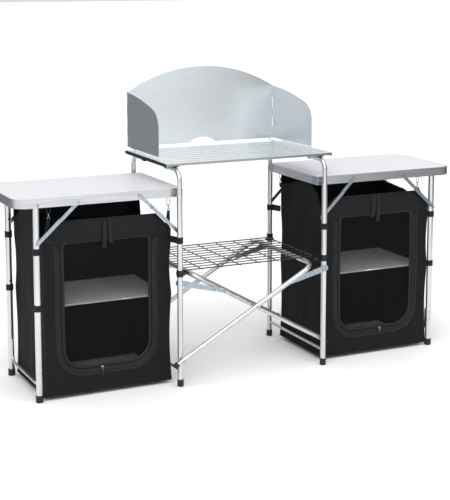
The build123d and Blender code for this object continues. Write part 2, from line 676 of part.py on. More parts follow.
back_face_y = screen_hinge_y + knuckle_r
with BuildPart() as windscreen_back:
    with BuildSketch(Plane(origin=(0, back_face_y, 0), x_dir=(1, 0, 0), z_dir=(0, -1, 0))):
        with BuildLine():
            Line((-screen_hinge_x, screen_bottom), (-screen_hinge_x, screen_corner_z))
            ThreePointArc((-screen_hinge_x, screen_corner_z), (0, screen_peak_z), (screen_hinge_x, screen_corner_z))
            Line((screen_hinge_x, screen_corner_z), (screen_hinge_x, screen_bottom))
            Line((screen_hinge_x, screen_bottom), (notch_width / 2, screen_bottom))
            ThreePointArc((notch_width / 2, screen_bottom), (0, screen_bottom + notch_height),
                          (-notch_width / 2, screen_bottom))
            Line((-notch_width / 2, screen_bottom), (-screen_hinge_x, screen_bottom))
        make_face()
    extrude(amount=sheet)
    for side in (-1, 1):
        clear_knuckles(side, 1, (side * screen_hinge_x, screen_hinge_y))
        knuckles(side, 0)
save(windscreen_back, "windscreen_back")

for side_name, side in SIDES:
    wing_x = side * (screen_hinge_x + knuckle_r)
    with BuildPart() as wing:
        # The leaf's outline, drawn in depth from the hinge and in height.
        leaf = Plane(origin=(wing_x, screen_hinge_y, 0), x_dir=(0, -1, 0), z_dir=(-side, 0, 0))
        if side < 0:
            leaf = Plane(origin=(wing_x + sheet, screen_hinge_y, 0), x_dir=(0, -1, 0), z_dir=(-1, 0, 0))
        with BuildSketch(leaf):
            with BuildLine():
                Line((0, screen_bottom), (0, screen_corner_z))
                slope = ThreePointArc((0, screen_corner_z), (wing_depth * 0.45, screen_corner_z - 17),
                                      (wing_depth * 0.82, screen_corner_z - 45))
                TangentArc(slope @ 1, (wing_depth, wing_front_z), tangent=slope % 1)
                Line((wing_depth, wing_front_z), (wing_depth, screen_bottom))
                Line((wing_depth, screen_bottom), (0, screen_bottom))
            make_face()
        extrude(amount=sheet)
        clear_knuckles(side, 0, (side * screen_hinge_x, screen_hinge_y))
        knuckles(side, 1)
    save(wing, f"{side_name}_wing")

with BuildPart() as windscreen_wires:
    with BuildSketch(Plane.XY.offset(screen_bottom + 2)):
        with Locations((-screen_hinge_x, screen_hinge_y), (screen_hinge_x, screen_hinge_y)):
            Circle(screen_pin_r)
    extrude(amount=screen_corner_z - screen_bottom - 2)
    foot_y = back_face_y + screen_foot_d / 2
    foot_z = shelf_top + gap + screen_foot_d / 2
    for foot_x in (-screen_foot_x, screen_foot_x):
        with BuildLine() as route:
            FilletPolyline((foot_x, foot_y, screen_bottom + 45), (foot_x, foot_y, foot_z),
                           (foot_x, foot_y - screen_foot_reach, foot_z), radius=4)
        with BuildSketch(Plane(origin=route.line @ 0, z_dir=route.line % 0)):
            Circle(screen_foot_d / 2)
        sweep(path=route.line)
save(windscreen_wires, "windscreen_wires")


# ==== cabinets ====================================================================================
def window_shape(side, grow):
    """Outline of the mesh window, grown by a margin, on a plane whose local axes are X and Z."""
    middle = side * (window_inner_x + window_outer_x) / 2
    width = window_outer_x - window_inner_x + 2 * grow
    height = window_top - window_bottom + 2 * grow
    with BuildSketch(mode=Mode.PRIVATE) as opening:
        with Locations((middle, (window_top + window_bottom) / 2)):
            Rectangle(width, height)
        fillet(opening.vertices().sort_by(Axis.Y)[:2], window_radius + grow)
        fillet(opening.vertices().sort_by(Axis.Y)[-2:], 6)
    return opening.sketch


for side_name, side in SIDES:
    middle_x = side * (cabinet_inner_x + cabinet_outer_x) / 2
    width = cabinet_outer_x - cabinet_inner_x
    depth = 2 * cabinet_half_depth
    front = Plane(origin=(0, -cabinet_half_depth - 1, 0), x_dir=(1, 0, 0), z_dir=(0, -1, 0))
    with BuildPart() as cabinet_shell:
        with Locations((middle_x, 0, cabinet_bottom)):
            low = (Align.CENTER, Align.CENTER, Align.MIN)
            Box(width, depth, cabinet_back_top - cabinet_bottom, align=low)
        with Locations((middle_x, 0, cabinet_bottom + cloth)):
            Box(width - 2 * cloth, depth - 2 * cloth, cabinet_back_top, align=low, mode=Mode.SUBTRACT)
        with BuildSketch(front):
            left = middle_x - width / 2 - 1
            right = middle_x + width / 2 + 1
            with BuildLine():
                Polyline(
                    (left, cabinet_front_top - shoulder_z),
                    (left + shoulder_x, cabinet_front_top),
                    (right - shoulder_x, cabinet_front_top),
                    (right, cabinet_front_top - shoulder_z),
                    (right, cabinet_back_top + 1),
                    (left, cabinet_back_top + 1),
                    close=True,
                )
            make_face()
        extrude(amount=-shoulder_x, mode=Mode.SUBTRACT)
        with BuildSketch(front):
            add(window_shape(side, 0))
        extrude(amount=-(cloth + 2), mode=Mode.SUBTRACT)
    save(cabinet_shell, f"{side_name}_cabinet_shell")

    with BuildPart() as cabinet_window:
        with BuildSketch(Plane(origin=(0, -cabinet_half_depth + mesh_thickness, 0), x_dir=(1, 0, 0), z_dir=(0, -1, 0))):
            add(window_shape(side, -gap))
        extrude(amount=mesh_thickness - 0.2)
    save(cabinet_window, f"{side_name}_cabinet_window")

    with BuildPart() as cabinet_boards:
        for board_z in (cabinet_bottom + cloth + gap, cabinet_shelf_z):
            with Locations((middle_x, 0, board_z)):
                Box(width - 2 * cloth - 6, depth - 2 * cloth - 6, cabinet_board, align=low)
    save(cabinet_boards, f"{side_name}_cabinet_boards")

    # The zip slider hangs at the bottom of the window, just in front of the cloth.
    with BuildPart() as zip_slider:
        slider_y = -cabinet_half_depth - gap
        with Locations((side * slider_x, slider_y, window_bottom - 12)):
            Box(12, 5, 9, align=(Align.CENTER, Align.MAX, Align.CENTER))
        with Locations((side * slider_x, slider_y - 5, window_bottom - 12)):
            Box(7, 2, 32, align=(Align.CENTER, Align.MAX, Align.MAX))
        fillet(zip_slider.edges().filter_by(Axis.Y), 1.5)
    save(zip_slider, f"{side_name}_zip_slider")

    # Webbing loops round the legs hold the cabinet's corners.
    ring_in = outer_leg_d / 2 + pin_clearance
    with BuildPart() as outer_straps:
        for strap_z in outer_strap_heights:
            for face in (-1, 1):
                centre = (side * outer_leg_x, face * outer_leg_y)
                with BuildSketch(Plane.XY.offset(strap_z - strap_height / 2)):
                    with Locations(centre):
                        Circle(ring_in + strap_thickness)
                        Circle(ring_in, mode=Mode.SUBTRACT)
                extrude(amount=strap_height)
    save(outer_straps, f"{side_name}_outer_straps")

    ring_in = inner_leg_d / 2 + pin_clearance
    with BuildPart() as inner_straps:
        low_z = inner_strap_height - strap_height / 2
        for face in (-1, 1):
            centre = (side * inner_leg_x, face * inner_leg_y)
            with BuildSketch(Plane.XY.offset(low_z)):
                with Locations(centre):
                    Circle(ring_in + strap_thickness)
                with BuildLine():
                    Polyline(
                        (side * (cabinet_inner_x + 2), face * (cabinet_half_depth + gap)),
                        (side * (cabinet_inner_x + 9), face * (cabinet_half_depth + gap)),
                        (side * (inner_leg_x + 10), face * inner_leg_y),
                        (side * (inner_leg_x + 1), face * inner_leg_y),
                        close=True,
                    )
                make_face()
                with Locations(centre):
                    Circle(ring_in, mode=Mode.SUBTRACT)
            extrude(amount=strap_height)
    save(inner_straps, f"{side_name}_inner_straps")

    # Wire hooks hang from the rim's corners and carry the cabinet's top.
    with BuildPart() as cabinet_hooks:
        top_z = rim_bottom - 0.2
        # The outer pair hangs further in, clear of the folding legs.
        for hook_x, hook_y in (
            (cabinet_inner_x + 12, cabinet_half_depth + 8),
            (cabinet_outer_x - 40, outer_leg_y - outer_leg_d / 2 - 10),
        ):
            for face in (-1, 1):
                y = face * hook_y
                x = side * hook_x
                half = hook_width / 2
                high = top_z - hook_wire_d / 2
                with BuildLine() as loop:
                    Line((x - half, y, high - half), (x - half, y, high - hook_height + half))
                    ThreePointArc((x - half, y, high - hook_height + half), (x, y, high - hook_height),
                                  (x + half, y, high - hook_height + half))
                    Line((x + half, y, high - hook_height + half), (x + half, y, high - half))
                    ThreePointArc((x + half, y, high - half), (x, y, high), (x - half, y, high - half))
                with BuildSketch(Plane(origin=(x - half, y, high - hook_height / 2), z_dir=(0, 0, 1))):
                    Circle(hook_wire_d / 2)
                sweep(path=loop.wire())
    save(cabinet_hooks, f"{side_name}_cabinet_hooks")
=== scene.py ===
"""Folding camp kitchen table: finishes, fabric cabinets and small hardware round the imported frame.
The left table is at -X, the front faces -Y, and everything is in metres."""

import math

import bmesh
import bpy
from mathutils import Matrix, Vector, noise


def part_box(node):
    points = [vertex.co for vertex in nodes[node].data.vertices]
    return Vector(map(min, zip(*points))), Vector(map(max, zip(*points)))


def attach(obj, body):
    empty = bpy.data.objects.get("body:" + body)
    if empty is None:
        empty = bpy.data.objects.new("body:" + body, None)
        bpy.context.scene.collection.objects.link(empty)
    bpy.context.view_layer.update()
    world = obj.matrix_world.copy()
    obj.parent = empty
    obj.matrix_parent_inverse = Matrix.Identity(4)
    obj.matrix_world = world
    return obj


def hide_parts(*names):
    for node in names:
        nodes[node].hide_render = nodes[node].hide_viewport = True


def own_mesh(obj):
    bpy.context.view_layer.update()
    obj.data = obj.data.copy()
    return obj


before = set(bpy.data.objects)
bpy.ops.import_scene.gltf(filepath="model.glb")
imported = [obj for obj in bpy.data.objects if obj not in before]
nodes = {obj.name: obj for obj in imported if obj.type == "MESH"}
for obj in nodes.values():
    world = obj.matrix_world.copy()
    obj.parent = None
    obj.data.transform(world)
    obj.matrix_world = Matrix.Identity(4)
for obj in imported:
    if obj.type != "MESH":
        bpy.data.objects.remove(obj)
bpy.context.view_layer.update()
scene = bpy.context.scene

MM = 0.001
SIDES = (("left", -1, "root"), ("right", 1, "right_side"))


# ---- finishes ------------------------------------------------------------------------------------
def linear(hex_code):
    """An sRGB hex colour as linear RGBA."""
    parts = [int(hex_code[i : i + 2], 16) / 255 for i in (1, 3, 5)]
    return (*[c / 12.92 if c <= 0.04045 else ((c + 0.055) / 1.055) ** 2.4 for c in parts], 1.0)


def add_node(tree, kind, settings=None, values=None, links=None):
    """Adds one node with its settings, input values and input links."""
    made = tree.nodes.new(kind)
    for name, value in (settings or {}).items():
        setattr(made, name, value)
    for name, value in (values or {}).items():
        made.inputs[name].default_value = value
    for name, source in (links or {}).items():
        tree.links.new(source, made.inputs[name])
    return made


def finish(name, dark, light, grain_mm, rough, bump_mm, detail=4.0, shader=None, lines=None):
    """A material whose colour, roughness and height follow one grain, sized in millimetres along X, Y and Z.
    Lines adds straight ribs: (axis, spacing in mm, height in mm, painted shade colour for the grooves or
    None)."""
    material = bpy.data.materials.new(name)
    material.use_nodes = True
    tree = material.node_tree
    shade = tree.nodes["Principled BSDF"]
    for socket, value in (shader or {}).items():
        shade.inputs[socket].default_value = value
    place = add_node(tree, "ShaderNodeTexCoord")
    sized = add_node(tree, "ShaderNodeMapping", values={"Scale": [1 / (size * MM) for size in grain_mm]},
                     links={"Vector": place.outputs["Object"]})
    grain = add_node(tree, "ShaderNodeTexNoise", values={"Scale": 1.0, "Detail": detail, "Roughness": 0.6},
                     links={"Vector": sized.outputs["Vector"]})
    tint = add_node(tree, "ShaderNodeValToRGB", links={"Fac": grain.outputs["Fac"]})
    for element, place_at, colour in zip(tint.color_ramp.elements, (0.3, 0.7), (dark, light)):
        element.position = place_at
        element.color = linear(colour)
    tree.links.new(tint.outputs["Color"], shade.inputs["Base Color"])
    spread = add_node(tree, "ShaderNodeMapRange", values={"To Min": rough[0], "To Max": rough[1]},
                      links={"Value": grain.outputs["Fac"]})
    tree.links.new(spread.outputs["Result"], shade.inputs["Roughness"])
    height = add_node(tree, "ShaderNodeBump", values={"Strength": 0.6, "Distance": bump_mm * MM},
                      links={"Height": grain.outputs["Fac"]})
    for axis, spacing, rise, groove_shade in lines or ():
        ribs = add_node(tree, "ShaderNodeTexWave", {"bands_direction": axis}, {"Scale": RIB / (spacing * MM)},
                        {"Vector": place.outputs["Object"]})
        # A groove colour is painted shade: it darkens the base colour at the bottom of each rib.
        if groove_shade:
            groove_shade_mask = add_node(tree, "ShaderNodeMapRange", values={"From Min": 0.9, "From Max": 0.99},
                            links={"Value": ribs.outputs["Fac"]})
            mixed = add_node(tree, "ShaderNodeMix", {"data_type": "RGBA"},
                             links={"Factor": groove_shade_mask.outputs["Result"]})
            tree.links.new(tint.outputs["Color"], mixed.inputs["A"])
            mixed.inputs["B"].default_value = linear(groove_shade)
            tree.links.new(mixed.outputs["Result"], shade.inputs["Base Color"])
        height = add_node(tree, "ShaderNodeBump", values={"Strength": 0.7, "Distance": rise * MM},
                          links={"Height": ribs.outputs["Fac"], "Normal": height.outputs["Normal"]})
    tree.links.new(height.outputs["Normal"], shade.inputs["Normal"])
    return material


# A wave texture at scale 1 repeats every 0.314 m along its axis.
RIB = 0.314159
SLAT_PITCH = 49.0    # mm, from one slat of the raised shelf to the next

# Drawn 6000-series tube, satin anodised: bright, with faint streaks along the draw.
tube_aluminium = finish("satin_anodised_tube", "#c9cbcd", "#e4e5e6", (6, 6, 220), (0.24, 0.36), 0.02,
                        shader={"Metallic": 1.0, "Anisotropic": 0.3})
# The centre frame's tubes run along X and Z, so their streaks are shorter and even all round.
frame_aluminium = finish("satin_anodised_bent_tube", "#bfc2c4", "#dcdee0", (14, 14, 14), (0.26, 0.38), 0.02,
                         shader={"Metallic": 1.0, "Anisotropic": 0.2})
# Extruded table edge, brushed along its length; two shallow grooves run round it.
edge_aluminium = finish("brushed_anodised_extrusion", "#b9bbbe", "#d9dbdd", (160, 160, 1.5), (0.3, 0.44),
                        0.03, shader={"Metallic": 1.0}, lines=(("Z", 11.5, 0.12, None),))
# Extruded slats with a clear anodised skin, mirror-like at a low angle; the gaps between them are painted
# darker, as painted shade.
slat_aluminium = finish("clear_anodised_slat", "#e4e6e8", "#f6f7f7", (240, 3, 3), (0.22, 0.34), 0.02,
                        shader={"Metallic": 0.9}, lines=(("Y", SLAT_PITCH, 0.3, "#84898d"),))
# Rolled sheet, lightly brushed by the mill from front to back and side to side.
sheet_aluminium = finish("mill_finish_sheet", "#d6dcdf", "#dce2e5", (90, 90, 9), (0.34, 0.38), 0.004,
                         shader={"Metallic": 0.95})
# White melamine laminate: dense and slightly pearly, with a fine pebbled press mark.
laminate = finish("white_melamine_laminate", "#d8d9dd", "#e3e3e7", (3, 3, 3), (0.32, 0.44), 0.05,
                  shader={"IOR": 1.5, "Specular IOR Level": 0.35})
# Blue-passivated zinc plate on pressed steel: cool, with a soft mottled bloom.
zinc = finish("zinc_plated_steel", "#8c98a3", "#bcc7d1", (9, 9, 9), (0.28, 0.46), 0.04,
              shader={"Metallic": 1.0})
# Drawn wire under bright nickel plate.
plated_wire = finish("nickel_plated_wire", "#34363a", "#5e6064", (8, 8, 8), (0.25, 0.4), 0.03,
                     shader={"Metallic": 1.0})
# Injection-moulded black polypropylene with a spark-eroded texture.
black_plastic = finish("moulded_polypropylene", "#09090a", "#131315", (1.6, 1.6, 1.6), (0.42, 0.58), 0.12,
                       shader={"IOR": 1.49})
# Pack cloth: PU-coated polyester in plain weave; threads are drawn at 2.2 mm, four times too coarse, to show.
weave = (("X", 2.2, 0.16, None), ("Y", 2.2, 0.16, None), ("Z", 2.2, 0.16, None))
cloth = finish("coated_polyester_plain_weave", "#0b0b0d", "#131315", (34, 34, 60), (0.62, 0.78), 0.3,
               shader={"IOR": 1.45, "Specular IOR Level": 0.25, "Sheen Weight": 0.05, "Sheen Roughness": 0.4},
               lines=weave)
# The walls are the same cloth with its matt coating outwards, which catches less light; their colour is also
# painted darker than the front's, as painted shade on the side and back walls.
shaded_wall_cloth = finish("matt_coated_polyester_painted_shade", "#060607", "#0c0c0e", (40, 40, 50), (0.68, 0.82), 0.3,
                    shader={"IOR": 1.45, "Specular IOR Level": 0.18, "Sheen Weight": 0.02}, lines=weave)
# The header is two layers with the coating inwards.
header_cloth = finish("coated_polyester_doubled", "#0f0f12", "#18181b", (28, 60, 28), (0.6, 0.74), 0.3,
                      shader={"IOR": 1.45, "Specular IOR Level": 0.25,
                              "Sheen Weight": 0.06, "Sheen Roughness": 0.4},
                      lines=weave)
# Nylon webbing: ribs across its width.
webbing = finish("ribbed_nylon_webbing", "#0a0a0b", "#161618", (5, 5, 5), (0.55, 0.7), 0.2,
                 shader={"Specular IOR Level": 0.3, "Sheen Weight": 0.05}, lines=(("Z", 3.2, 0.5, None),))
# Coil zip: polyester coil, glossy on its rounded turns, drawn at 3 mm for 2 mm teeth.
zip_coil = finish("polyester_zip_coil", "#0b0b0d", "#18181a", (3, 3, 3), (0.4, 0.5), 0.2,
                  shader={"IOR": 1.5, "Specular IOR Level": 0.4},
                  lines=(("X", 3.0, 0.5, None), ("Z", 3.0, 0.5, None)))
# Silver-grey spacer net laid over the shelf board; the holes are painted darker in diagonal rows, as painted
# shade in them.
board_net = finish("grey_spacer_net", "#c9c8cd", "#f2f1f5", (4.5, 4.5, 4.5), (0.7, 0.85), 0.5, detail=1.0,
                   shader={"Sheen Weight": 0.2}, lines=(("DIAGONAL", 6.0, 0.6, "#8c8b92"),))
# Piping and edge tape, a little shinier than the cloth it binds.
tape = finish("woven_edge_tape", "#0b0b0d", "#141417", (4, 4, 4), (0.5, 0.65), 0.2,
              shader={"Specular IOR Level": 0.35, "Sheen Weight": 0.05}, lines=(("Z", 2.4, 0.3, None),))
# Steel screws and rivets with a dark oxide coat.
dark_screw = finish("black_oxide_steel", "#2b2d30", "#54585c", (3, 3, 3), (0.3, 0.45), 0.03,
                    shader={"Metallic": 1.0})


def net_finish():
    """Black polyester window net: near-square holes between knitted cords, a little over half open."""
    material = finish("knitted_window_net", "#0b0b0c", "#131315", (3, 3, 3), (0.6, 0.75), 0.2,
                      shader={"Specular IOR Level": 0.2})
    tree = material.node_tree
    place = add_node(tree, "ShaderNodeTexCoord")
    # Real holes are 1.2 mm; they're drawn at 3.4 mm so that a close view shows them.
    cell = 3.4 * MM
    apart = add_node(tree, "ShaderNodeSeparateXYZ", links={"Vector": place.outputs["Object"]})
    upright = add_node(tree, "ShaderNodeCombineXYZ", links={"X": apart.outputs["X"], "Y": apart.outputs["Z"]})
    holes = add_node(tree, "ShaderNodeTexVoronoi",
                     {"feature": "DISTANCE_TO_EDGE", "voronoi_dimensions": "2D"},
                     {"Randomness": 0.15, "Scale": 1 / cell}, {"Vector": upright.outputs["Vector"]})
    cords = add_node(tree, "ShaderNodeMath", {"operation": "LESS_THAN"}, {1: 0.12},
                     {0: holes.outputs["Distance"]})
    veil = add_node(tree, "ShaderNodeMapRange", values={"To Min": 0.06, "To Max": 0.95},
                    links={"Value": cords.outputs["Value"]})
    tree.links.new(veil.outputs["Result"], tree.nodes["Principled BSDF"].inputs["Alpha"])
    return material


window_net = net_finish()

NODE_FINISHES = {
    "table_rim": edge_aluminium,
    "table_board": laminate,
    "corner_brackets": zinc,
    "fasteners": zinc,
    "inner_legs": tube_aluminium,
    "inner_feet": black_plastic,
    "inner_crossbar": frame_aluminium,
    "extension_tubes": tube_aluminium,
    "extension_caps": black_plastic,
    "inner_braces": zinc,
    "shelf_clips": black_plastic,
    "inner_straps": webbing,
    "outer_straps": webbing,
    "cabinet_hooks": plated_wire,
    "outer_legs": tube_aluminium,
    "outer_feet": black_plastic,
    "outer_crossbar": frame_aluminium,
    "outer_brace_uppers": zinc,
    "outer_brace_lowers": zinc,
    "stays": zinc,
    "wing": sheet_aluminium,
    "x_frame_wide": frame_aluminium,
    "x_frame_narrow": frame_aluminium,
    "wide_frame_caps": black_plastic,
    "narrow_frame_caps": black_plastic,
    "cross_bolts": zinc,
    "wire_shelf": plated_wire,
    "shelf_slats": slat_aluminium,
    "shelf_rails": black_plastic,
    "windscreen_back": sheet_aluminium,
    "windscreen_wires": zinc,
}
for name, node in nodes.items():
    kind = name.removeprefix("left_").removeprefix("right_")
    if kind in NODE_FINISHES:
        node.data.materials.clear()
        node.data.materials.append(NODE_FINISHES[kind])


# ---- mesh helpers --------------------------------------------------------------------------------
def piece(name, bm, material, body, thickness=0.0, smooth_levels=0, inward=-1.0):
    """A finished mesh object from a bmesh, riding on a body; a thickness makes it a sheet with two faces."""
    mesh = bpy.data.meshes.new(name)
    bm.to_mesh(mesh)
    bm.free()
    mesh.shade_smooth()
    mesh.materials.append(material)
    made = bpy.data.objects.new(name, mesh)
    scene.collection.objects.link(made)
    if smooth_levels:
        made.modifiers.new("rounded", "SUBSURF").levels = smooth_levels
        made.modifiers["rounded"].render_levels = smooth_levels
    if thickness:
        wall = made.modifiers.new("thickness", "SOLIDIFY")
        wall.thickness = thickness
        wall.offset = inward
    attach(made, body)
    return made


def cord_along(bm, points, radius, closed=False):
    """Adds a round cord along points."""
    line = bpy.data.curves.new("line", "CURVE")
    line.dimensions = "3D"
    line.bevel_depth = radius
    line.bevel_resolution = 3
    line.use_fill_caps = not closed
    spline = line.splines.new("POLY")
    spline.points.add(len(points) - 1)
    for spot, point in zip(spline.points, points):
        spot.co = (*point, 1.0)
    spline.use_cyclic_u = closed
    carrier = bpy.data.objects.new("line", line)
    mesh = bpy.data.meshes.new_from_object(carrier)
    bm.from_mesh(mesh)
    bpy.data.objects.remove(carrier)
    bpy.data.curves.remove(line)
    bpy.data.meshes.remove(mesh)


def ring_sheet(outer, inner, rings, fill=False):
    """A flat sheet in XZ between two closed outlines of the same count, with rings of points between them."""
    bm = bmesh.new()
    loops = []
    for outline in (outer, inner):
        corners = [bm.verts.new((p.x, 0, p.y)) for p in outline]
        loops.append([bm.edges.new(pair) for pair in zip(corners, corners[1:] + corners[:1])])
    bmesh.ops.bridge_loops(bm, edges=loops[0] + loops[1])
    spokes = [e for e in bm.edges if e not in loops[0] and e not in loops[1]]
    bmesh.ops.subdivide_edges(bm, edges=spokes, cuts=rings, use_grid_fill=True)
    if fill:
        bmesh.ops.contextual_create(bm, geom=loops[1])
    return bm


def ray_out(outline, centre, angle):
    """Where a ray from the centre crosses a closed outline."""
    way = Vector((math.cos(angle), math.sin(angle)))
    for a, b in zip(outline, outline[1:] + outline[:1]):
        edge = b - a
        turn = way.cross(edge)
        if abs(turn) < 1e-12:
            continue
        reach = (a - centre).cross(edge) / turn
        share = (a - centre).cross(way) / turn
        if reach > 0 and -1e-6 <= share <= 1 + 1e-6:
            return centre + way * reach
    return outline[0].copy()


def rounded(low, high, radius, top_radius, steps=8):
    """A rectangle with round lower corners and small upper ones, anticlockwise from the lower left."""
    outline = []
    for x, z, r, start in (
        (low.x, low.y, radius, 180),
        (high.x, low.y, radius, 270),
        (high.x, high.y, top_radius, 0),
        (low.x, high.y, top_radius, 90),
    ):
        centre = Vector((x + r if x == low.x else x - r, z + r if z == low.y else z - r))
        for i in range(steps + 1):
            angle = math.radians(start + 90 * i / steps)
            outline.append(centre + r * Vector((math.cos(angle), math.sin(angle))))
    return outline


# ---- fabric cabinets -----------------------------------------------------------------------------
shell_low, shell_high = (Vector(v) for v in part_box("right_cabinet_shell"))
net_low, net_high = (Vector(v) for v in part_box("right_cabinet_window"))
CLOTH = 1.2 * MM
WIDTH = shell_high.x - shell_low.x
DEPTH = shell_high.y - shell_low.y
MIDDLE_X = (shell_low.x + shell_high.x) / 2
FRONT_Y = shell_low.y + CLOTH
FRONT_TOP = 0.700           # top edge of the front panel
SHOULDER_X = 0.064          # its upper corners are cut off by this much
SHOULDER_Z = 0.066
WINDOW_RADIUS = 0.075
# Heights where the upright edges are tied to the legs.
HELD_AT = (shell_low.z, 0.372, 0.594, FRONT_TOP - SHOULDER_Z)
PULL = 9 * MM               # how far the edge draws in between two ties
BILLOW = 5 * MM             # sideways wave of the slack end walls
BOARD = 6 * MM
SHELF_Z = 0.365             # undersides of the two boards
BOTTOM_Z = 0.0178
BOARD_GAP_X = 15 * MM       # from the cabinet's walls to the boards
BOARD_GAP_Y = 13 * MM
HEADER_LOW = net_high.z + 4 * MM
# Height of each side wall's top edge, from the front (0) to the back (1) of the cabinet.
# Each hangs its own way.
WALL_TOPS = {
    ("left", "inner"): ((0, 0.632), (0.16, 0.600), (0.80, 0.592), (0.83, 0.752), (1, 0.753)),
    ("left", "outer"): ((0, 0.632), (0.12, 0.712), (0.3, 0.742), (0.6, 0.735), (0.78, 0.700), (0.9, 0.668),
                        (1, 0.700)),
    ("right", "inner"): ((0, 0.632), (0.1, 0.722), (0.28, 0.750), (0.55, 0.748), (0.78, 0.724), (0.94, 0.712),
                         (1, 0.73)),
    ("right", "outer"): ((0, 0.632), (0.26, 0.660), (0.5, 0.680), (0.9, 0.690), (1, 0.700)),
}


def drawn_in(z):
    """How far the cabinet's upright edges draw in at a height."""
    for low, high in zip(HELD_AT, HELD_AT[1:]):
        if low <= z <= high:
            return PULL * math.sin(math.pi * (z - low) / (high - low)) * min(1.0, (high - low) / 0.25)
    return 0.0


def crease(a, b, seed, size, height):
    """Smooth uneven folds at a place on the cloth."""
    return height * noise.noise(Vector((a / size, b / size, seed)))


def front_y(x, z, seed):
    """Depth of the cloth front at a place: slack between its edges, with creases from the upper corners."""
    across = (x - shell_low.x) / (shell_high.x - shell_low.x)
    up = (z - shell_low.z) / (FRONT_TOP - shell_low.z)
    slack = max(0.0, 1 - abs(2 * across - 1) ** 3) * max(0.0, 1 - abs(2 * up - 1) ** 3)
    folds = crease(x * 1.6, z * 0.7, seed, 0.09, 4.0 * MM) + crease(x, z, seed + 5, 0.035, 1.2 * MM)
    near_corner = max(0.0, up - 0.72) * max(0.0, abs(2 * across - 1) - 0.2)
    pull = 2.5 * MM * math.sin(60 * (across * 0.7 + up)) * near_corner
    return FRONT_Y + slack * 3.5 * MM + folds * (0.35 + 0.65 * slack) + pull


def set_cloth(bm, side, seed, lift=0.0):
    """Moves a flat sheet in XZ onto the cabinet's slack front, in front of it by lift, on the given side."""
    for vert in bm.verts:
        x, z = vert.co.x, vert.co.z
        near_inner = max(0.0, 1 - (x - shell_low.x) / 0.11)
        near_outer = max(0.0, 1 - (shell_high.x - x) / 0.11)
        shift = drawn_in(z) * (near_inner**1.5 - near_outer**1.5)
        vert.co = Vector((side * (x + shift), front_y(x, z, seed) - lift, z))
    if side < 0:
        bmesh.ops.reverse_faces(bm, faces=bm.faces)


def crumples(made):
    """Gives a cabinet piece a mesh of its own."""
    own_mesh(made)


front_outline = [
    Vector((shell_low.x, shell_low.z)),
    Vector((shell_high.x, shell_low.z)),
    Vector((shell_high.x, FRONT_TOP - SHOULDER_Z)),
    Vector((shell_high.x - SHOULDER_X, FRONT_TOP)),
    Vector((shell_low.x + SHOULDER_X, FRONT_TOP)),
    Vector((shell_low.x, FRONT_TOP - SHOULDER_Z)),
]
window_corners = Vector((net_low.x, net_low.z)), Vector((net_high.x, net_high.z))
window_middle = (window_corners[0] + window_corners[1]) / 2


corner_angles = [math.atan2(*reversed(p - window_middle)) for p in front_outline]
even_angles = [math.tau * i / 132 - math.pi for i in range(132)]
ANGLES = sorted({round(a, 4) for a in even_angles} | {round(a, 4) for a in corner_angles})


def window_outline(grow):
    """The window's outline, grown by a margin, at the shared ray angles."""
    margin = Vector((grow, grow))
    shape = rounded(window_corners[0] - margin, window_corners[1] + margin, WINDOW_RADIUS + grow, 8 * MM)
    return [ray_out(shape, window_middle, angle) for angle in ANGLES]


def wall_top(side_name, wall, depth_in):
    """Height of a wall's top edge at a share of the cabinet's depth."""
    if wall == "back":
        return shell_high.z - 2 * MM
    tops = WALL_TOPS[side_name, wall]
    for (a, low), (b, high) in zip(tops, tops[1:]):
        if depth_in <= b:
            share = max(0.0, (depth_in - a) / (b - a))
            return low + (high - low) * share * share * (3 - 2 * share)
    return tops[-1][1]


def wrap_path():
    """Plan of the walls from one front corner round to the other, with each point's outward way."""
    radius = 16 * MM
    wall_x = shell_low.x + 1 * MM
    path = []
    for i in range(25):
        path.append((Vector((wall_x, FRONT_Y + i / 24 * (shell_high.y - radius - FRONT_Y))), Vector((-1, 0))))
    for i in range(1, 6):
        angle = math.radians(180 - 90 * i / 6)
        way = Vector((math.cos(angle), math.sin(angle)))
        path.append((Vector((wall_x + radius, shell_high.y - radius)) + radius * way, way))
    for i in range(33):
        x = wall_x + radius + i / 32 * (WIDTH - 2 * MM - 2 * radius)
        path.append((Vector((x, shell_high.y)), Vector((0, 1))))
    mirror_x = shell_low.x + shell_high.x
    return path + [(Vector((mirror_x - p.x, p.y)), Vector((-w.x, w.y))) for p, w in reversed(path[:30])]


